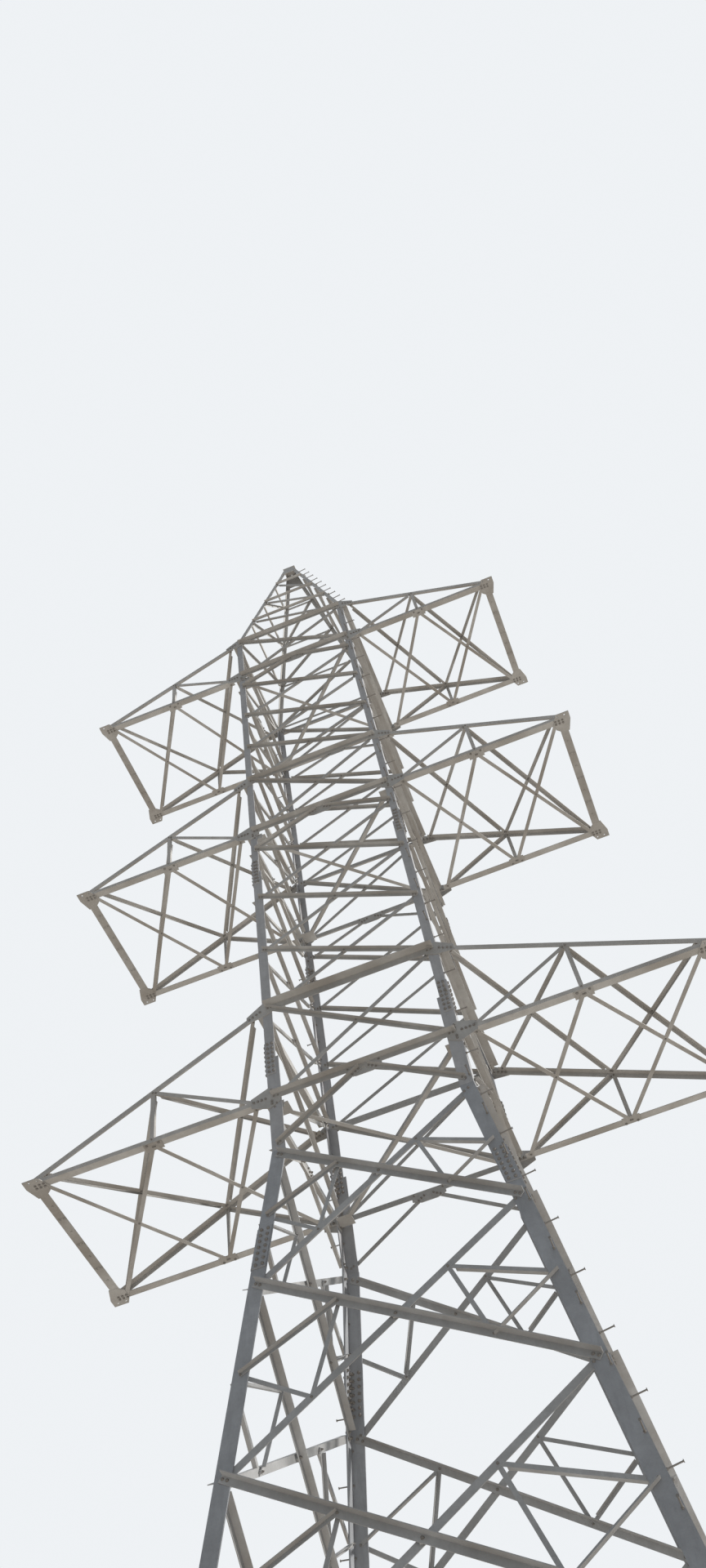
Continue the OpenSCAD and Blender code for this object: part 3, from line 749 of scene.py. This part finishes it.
peak_spots = []
for face in range(4):
    for n in range(peak_belts):
        for side in (-1, 1):
            peak_spots.append(peak.bolt(face, peak.on_leg(side, peak_level(n)), clear + peak_bar,
                                        -peak.flange if n == 0 else peak_back))
        if n < peak_belts - 1:
            high_left = peak.on_leg(-1, peak_level(n + 1))
            deep_right = peak.on_leg(1, peak_level(n))
            for one, other in ((high_left, deep_right), (deep_right, high_left)):
                peak_spots.append(peak.bolt(face, towards(one, other, peak_diagonal_end),
                                            0.0, peak_back))
hardware("peak_bolts", bolt_tree, peak_spots, m16, bolt_steel)
peak_steel = galvanized("peak_steel", zinc=(0.41, 0.405, 0.395),
                        grime_and_shade=(0.20, 0.165, 0.13), soil_and_shade=0.7, runs=0.2, seed=7.0)
finish_nodes(peak_steel, "peak_")


# The cross-arms: galvanized side trusses, crossed lacing under the bottom and
# the top chords, an end beam and thick corner plates. Lacing has one bolt at
# each end, the corner plates have six, and stitch plates lie under the beam.
arm_steel = galvanized("arm_steel", zinc=(0.42, 0.41, 0.395),
                       grime_and_shade=(0.22, 0.185, 0.145), soil_and_shade=0.75, runs=0.15, seed=9.0)
arm_floor_steel = galvanized("arm_floor_steel", zinc=(0.38, 0.37, 0.355),
                             grime_and_shade=(0.19, 0.155, 0.12), soil_and_shade=0.9, runs=0.1, seed=12.0)

# The trusses' nodes.
post_share = 0.49
root_node = 0.190
diagonal_lift = 0.010
lace_in = 0.055
floor_tip = 0.150
roof_tip = 0.170

# Distances out from the side, and the bolts' distances from a bar's end.
tie_front = -0.001
post_back = -0.011
diagonal_back = -0.0125
post_foot_lift = 0.018
post_head_bolt = 0.012
diagonal_head_bolt = 0.050
diagonal_root_bolt = 0.030
lace_end = 0.026

# Heights over the arm's level of the floor's lower surfaces, and depths under
# the roof's plane of the surfaces that its bolts sit on.
flat_in = 0.002
floor_level = -chord_height / 2 - clear
chord_inside = -chord_height / 2 + flat_in + chord_plate
lacing_under = floor_level - 0.010
middle_plate_under = floor_level - 0.007
tip_plate_under = floor_level - 0.014
beam_flat = 0.010
beam_under = floor_level - 0.001 - beam_flat
second_layer = 0.0012
roof_lacing_depth = 0.0103
roof_end_grip = 0.0155
crossing_grip = 0.0072

# The rows and columns of the plates' bolts, and the stitch plates.
tip_rows = (0.155, 0.095, 0.035)
tip_columns = (0.028, 0.080)
middle_plate_rows = (-0.085, 0.085)
middle_plate_column = 0.030
beam_ends = 0.200
beam_column = 0.060
stitch = 0.006
stitch_near, stitch_far = -0.112, -0.008
stitch_half = 0.025
stitch_columns = (-0.090, -0.030)
down = Vector((0, 0, -1))


def lacing(nodes):
    """The bolts of the crossed bars between pairs of nodes, as the place in
    the plane, whether it is a bar's end, and the side that the bar starts on."""
    for (x0, y0), (x1, y1) in zip(nodes, nodes[1:]):
        for side in (-1, 1):
            one, other = Vector((x0, side * y0)), Vector((x1, -side * y1))
            yield towards(one, other, lace_end), True, side
            yield towards(other, one, lace_end), True, side
            if side > 0:
                yield one.lerp(other, y0 / (y0 + y1)), False, side


side_spots, lace_spots, tip_spots, stitch_spots, stitch_shapes = [], [], [], [], []
for arm in arms:
    tie_level = arm.level + arm.root
    half, half_over = up.half(arm.level), up.half(tie_level)
    chord_line, tie_line = up.rise(arm.level), up.rise(tie_level) + tie_width / 2
    dip = math.atan(tie_slope(arm))
    post_foot = Vector((half + (arm.reach - half) * post_share, chord_line))
    post_head = Vector((half_over + (arm.reach - half_over) * post_share,
                        tie_line + (chord_line + tie_end - tie_line) * post_share
                        - tie_width / math.cos(dip) / 2))
    diagonal_root = Vector((half + root_node, chord_line + diagonal_lift))
    side_joints = (
        (post_foot + Vector((0, post_foot_lift)), 0.0, post_back),
        (towards(post_head, post_foot, post_head_bolt), tie_front, post_back),
        (towards(post_head, diagonal_root, diagonal_head_bolt), tie_front, diagonal_back),
        (towards(diagonal_root, post_head, diagonal_root_bolt), 0.0, diagonal_back))

    floor_nodes = [(along, half - lace_in)
                   for along in (half + root_node, post_foot.x, arm.reach - floor_tip)]
    roof_run = (arm.reach - half_over) / math.cos(dip)
    roof_nodes = [(along, half_over + (half - half_over) * share - lace_in)
                  for along, share in ((root_node, 0), (roof_run * post_share, post_share),
                                       (roof_run - roof_tip, 1))]
    roof_start = Vector((half_over, 0, tie_level + tie_width / 2))
    down_roof = Vector((math.cos(dip), 0, -math.sin(dip)))
    roof_normal = Vector((math.sin(dip), 0, math.cos(dip)))

    for hand in (-1, 1):
        mirrored = Matrix.Diagonal((hand, 1, 1))
        for face in (0, 2):
            # The back face's frame is turned half round, so it changes hands.
            way = hand if face == 0 else -hand
            for flat, front, back in side_joints:
                side_spots.append(up.bolt(face, (way * flat.x, flat.y), front, back))

        for flat, at_end, side in lacing(floor_nodes):
            layer = second_layer if side < 0 and at_end else 0
            place = Vector((flat.x, flat.y, arm.level + lacing_under + layer))
            lace_spots.append((mirrored @ place, down,
                               chord_inside - lacing_under if at_end else crossing_grip))
        for flat, at_end, side in lacing(roof_nodes):
            place = (roof_start + down_roof * flat.x + Vector((0, flat.y, 0))
                     + roof_normal * -(flat_in if at_end else roof_lacing_depth))
            lace_spots.append((mirrored @ place, mirrored @ roof_normal,
                               roof_end_grip if at_end else crossing_grip))

        for side in (-1, 1):
            for row in tip_rows:
                for column in tip_columns:
                    place = Vector((arm.reach - row, side * (half - column),
                                    arm.level + tip_plate_under))
                    tip_spots.append((mirrored @ place, down, chord_inside - tip_plate_under))
            for row in middle_plate_rows:
                place = Vector((post_foot.x + row, side * (half - middle_plate_column),
                                arm.level + middle_plate_under))
                tip_spots.append((mirrored @ place, down, chord_inside - middle_plate_under))

        for share in (-0.5, 0, 0.5):
            y = share * (half - beam_ends)
            corners = [Vector((arm.reach + x, y + off, arm.level + beam_under))
                       for x, off in ((stitch_near, -stitch_half), (stitch_near, stitch_half),
                                      (stitch_far, stitch_half), (stitch_far, -stitch_half))]
            # Taken backwards on the left, so that the faces still point outwards.
            stitch_shapes.append(([mirrored @ corner for corner in corners[::hand]],
                                  down * stitch))
            for x in stitch_columns:
                place = Vector((arm.reach + x, y, arm.level + beam_under - stitch))
                stitch_spots.append((mirrored @ place, down, beam_flat + stitch))
        for share in (-0.75, -0.25, 0.25, 0.75):
            place = Vector((arm.reach - beam_column, share * (half - beam_ends),
                            arm.level + beam_under))
            stitch_spots.append((mirrored @ place, down, beam_flat))
hardware("arm_side_bolts", bolt_tree, side_spots, m16, bolt_steel)
hardware("lacing_bolts", bolt_tree, lace_spots, m16, bolt_steel)
hardware("tip_bolts", bolt_tree, tip_spots, m20, bolt_steel)
hardware("end_beam_bolts", bolt_tree, stitch_spots, m16, arm_floor_steel)
plates("end_beam_stitches", stitch_shapes, arm_floor_steel)
for arm_name in ("lower_arm", "middle_arm", "upper_arm"):
    for hand_name in ("_left", "_right"):
        beginning = arm_name + hand_name
        finish_nodes(arm_steel, beginning + "_sides", beginning + "_roof")
        finish_nodes(arm_floor_steel, beginning + "_floor")


# The climbing bolts: long round steel bolts up two opposite legs, 0.4 m apart
# and on the two flanges in turn, and on up the peak's right-hand front leg.
# Each is held by a nut on both sides of its flange.
step_nut_share = 0.5
step_head_share = 1.9
step_head = 0.007
step_bite = 0.001
step_tail = 0.008
step_tail_share = 0.49
start, (shank, reach_out, across) = new_tree("climbing_bolts", ["Shank", "Reach", "Across"])
outer_end = joined(start, [
    hexagon(start, across, across * step_nut_share),
    disc(start, 10, shank, reach_out, 0.0),
    disc(start, 12, shank * step_head_share, step_head, reach_out - step_bite)])
inner_end = joined(start, [
    hexagon(start, across, across * step_nut_share),
    disc(start, 8, shank, step_tail, across * step_tail_share)])
step_tree = fastened(start, outer_end, turned_over(start, inner_end))

step_rise = 0.4
first_step = 3.2
step_column = 0.025
peak_steps = 10
peak_first_step = 0.34
peak_step_rise = 0.45
peak_step_column = 0.022
keep_off_joint = 0.2
keep_off_bend = 0.1
keep_off_splice = 0.03
step_spots = []
for face, side, first in ((0, 1, first_step), (1, -1, first_step + step_rise),
                          (2, 1, first_step), (3, -1, first_step + step_rise)):
    # Only the front and the back have arms in the way.
    chords = [level for arm in arms for level in (arm.level, arm.level + arm.root)
              if face % 2 == 0]
    height = first
    while height < shoulder - keep_off_joint:
        section = low if height < waist else up
        spliced = any(base - keep_off_splice < height < base + splice_length + keep_off_splice
                      for base in (waist_splice, lower_splice, upper_splice))
        at_chord = any(abs(height - level) < keep_off_joint for level in chords)
        if abs(height - waist) > keep_off_bend and not at_chord:
            flat = (side * (section.half(height) - step_column), section.rise(height))
            step_spots.append(section.bolt(face, flat, splice_plate if spliced else 0.0,
                                           -section.flange))
        height += 2 * step_rise
for n in range(peak_steps):
    height = shoulder + peak_first_step + peak_step_rise * n
    flat = (-(peak.half(height) - peak_step_column), peak.rise(height))
    step_spots.append(peak.bolt(1, flat, 0.0, -peak.flange))
hardware("climbing_bolts", step_tree, step_spots, {
    "Shank": 0.0085, "Reach": 0.160, "Across": 0.028}, bolt_steel)


# A plain pale floor and a pale surround, with one key light from the right,
# a little behind the tower, a soft glow from the pale ground and a level fill
# from all round.
bpy.ops.mesh.primitive_plane_add(size=600)
floor = bpy.context.object
floor.name = "floor"
floor_paint = bpy.data.materials.new("floor_paint")
floor_paint.use_nodes = True
floor_shader = floor_paint.node_tree.nodes["Principled BSDF"]
floor_shader.inputs["Base Color"].default_value = (0.60, 0.57, 0.53, 1)
floor_shader.inputs["Roughness"].default_value = 0.9
floor.data.materials.append(floor_paint)


def sun(name, energy, width, colour, direction):
    """A sun of this width in degrees that shines from this direction."""
    lamp = bpy.data.objects.new(name, bpy.data.lights.new(name, "SUN"))
    bpy.context.collection.objects.link(lamp)
    lamp.data.energy = energy
    lamp.data.angle = math.radians(width)
    lamp.data.color = colour
    lamp.rotation_euler = Vector(direction).to_track_quat("Z", "Y").to_euler()
    return lamp


sun("key", energy=4.0, width=4, colour=(1.0, 0.965, 0.91), direction=(0.84, 0.12, 0.53))
glow = sun("glow", energy=1.0, width=60, colour=(1.0, 0.94, 0.86), direction=(0.10, -0.15, -1))
glow.data.use_shadow = False

world = bpy.data.worlds.new("surround")
bpy.context.scene.world = world
world.use_nodes = True
world.node_tree.nodes.clear()
start = Wire(world.node_tree)
rays = start.node("ShaderNodeLightPath", out="Is Camera Ray")
seen = rays + rays.also("Is Glossy Ray") + rays.also("Is Transmission Ray")
fill = start.node("ShaderNodeBackground", {}, {
    "Color": (0.72, 0.86, 1.0, 1), "Strength": 0.2})
pale = start.node("ShaderNodeBackground", {}, {
    "Color": (0.86, 0.885, 0.91, 1), "Strength": 1.0})
mixed = start.node("ShaderNodeMixShader", {}, {0: seen, 1: fill, 2: pale})
start.node("ShaderNodeOutputWorld", {}, {"Surface": mixed})
bpy.context.scene.view_settings.view_transform = "Standard"
